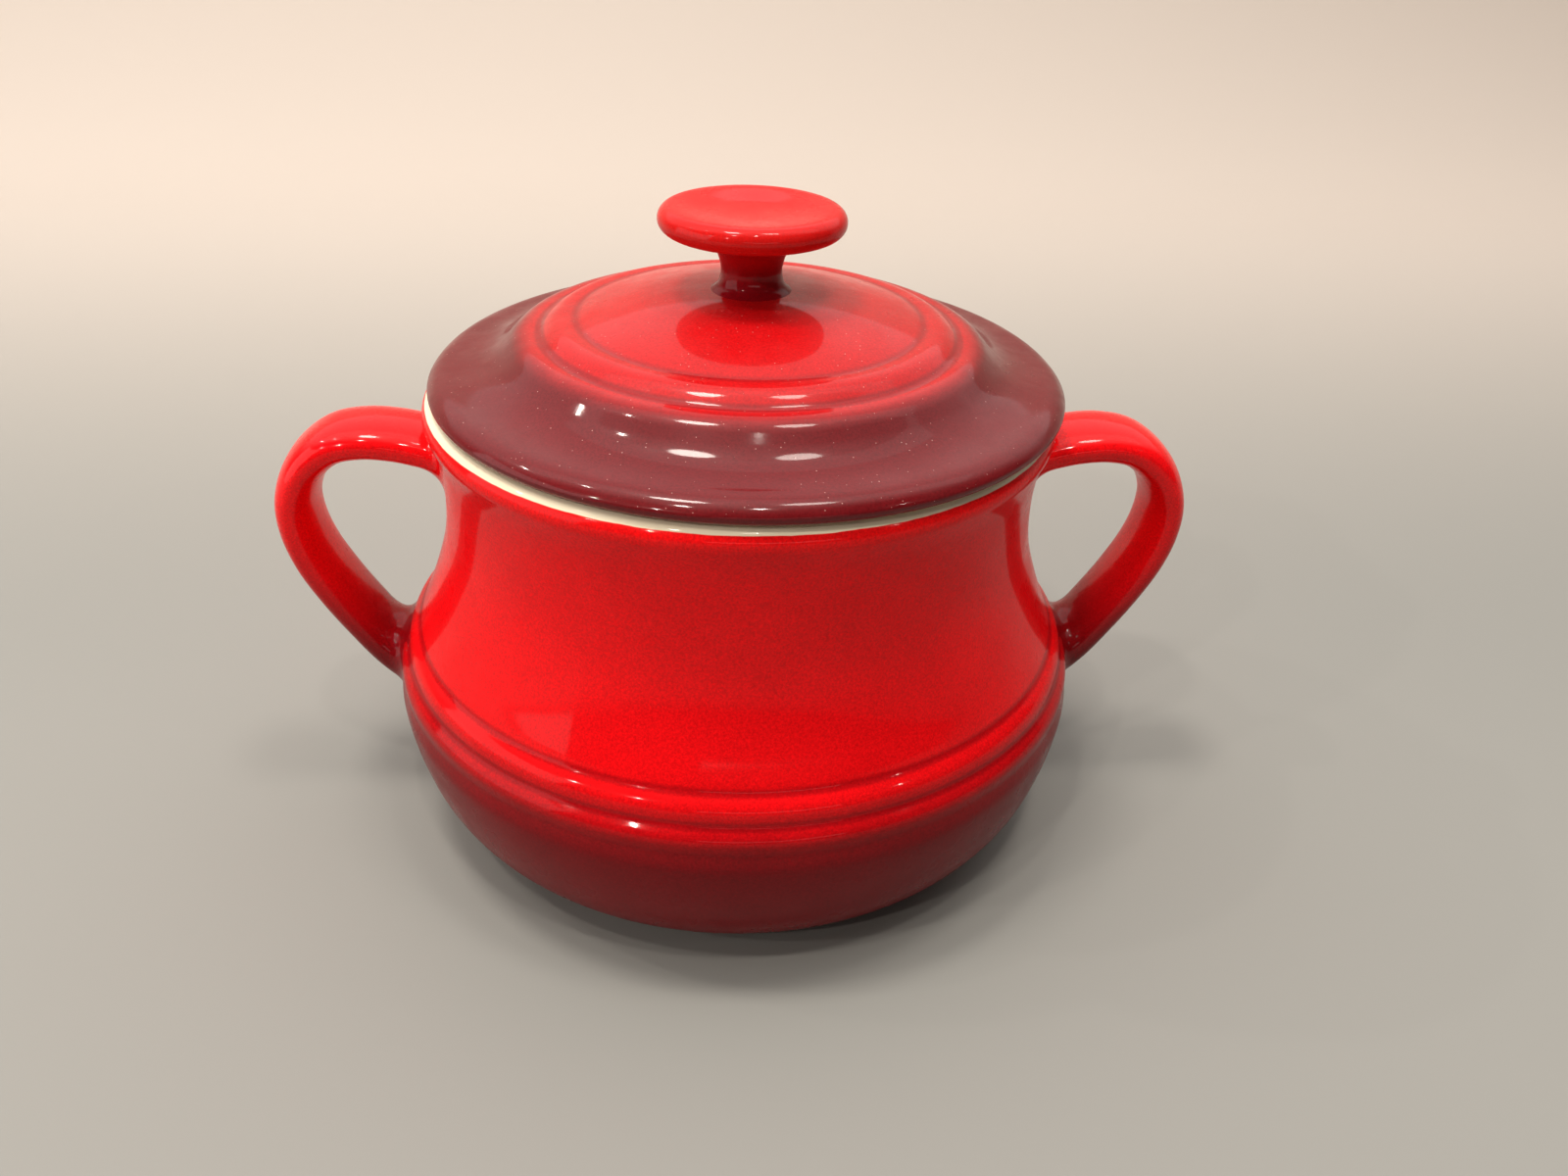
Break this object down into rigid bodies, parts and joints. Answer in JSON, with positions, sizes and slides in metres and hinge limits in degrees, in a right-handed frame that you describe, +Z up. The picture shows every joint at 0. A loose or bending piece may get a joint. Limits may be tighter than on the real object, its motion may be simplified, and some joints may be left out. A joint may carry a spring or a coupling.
{
  "type": "lidded stoneware pot",
  "caption": "Round-bellied glazed stoneware pot with loop handles, ribbed shoulder and a domed lift-off lid with a mushroom knob.",
  "frame": {"origin": "on the pot's axis, in the plane that the foot ring stands on", "axes": "+Z up, +X from the left handle to the right handle, -Y towards a person facing the pot"},
  "size_m": [0.2432, 0.187, 0.1654],
  "materials": {
    "red_glaze": "glossy transparent red glaze over stoneware, darkening to maroon low on the pot",
    "dark_red_glaze": "glossy glaze, maroon at the lid's edge and bright red on its dome"
  },
  "bodies": {
    "pot": {"pot_body": "red_glaze", "left_handle": "red_glaze", "right_handle": "red_glaze"},
    "lid": {"lid": "dark_red_glaze", "lid_knob": "red_glaze"}
  },
  "joints": [
    {"name": "lid_lift", "type": "slide", "parent": "pot", "child": "lid", "axis": [0, 0, 1], "range_m": [0, 0.2]}
  ]
}
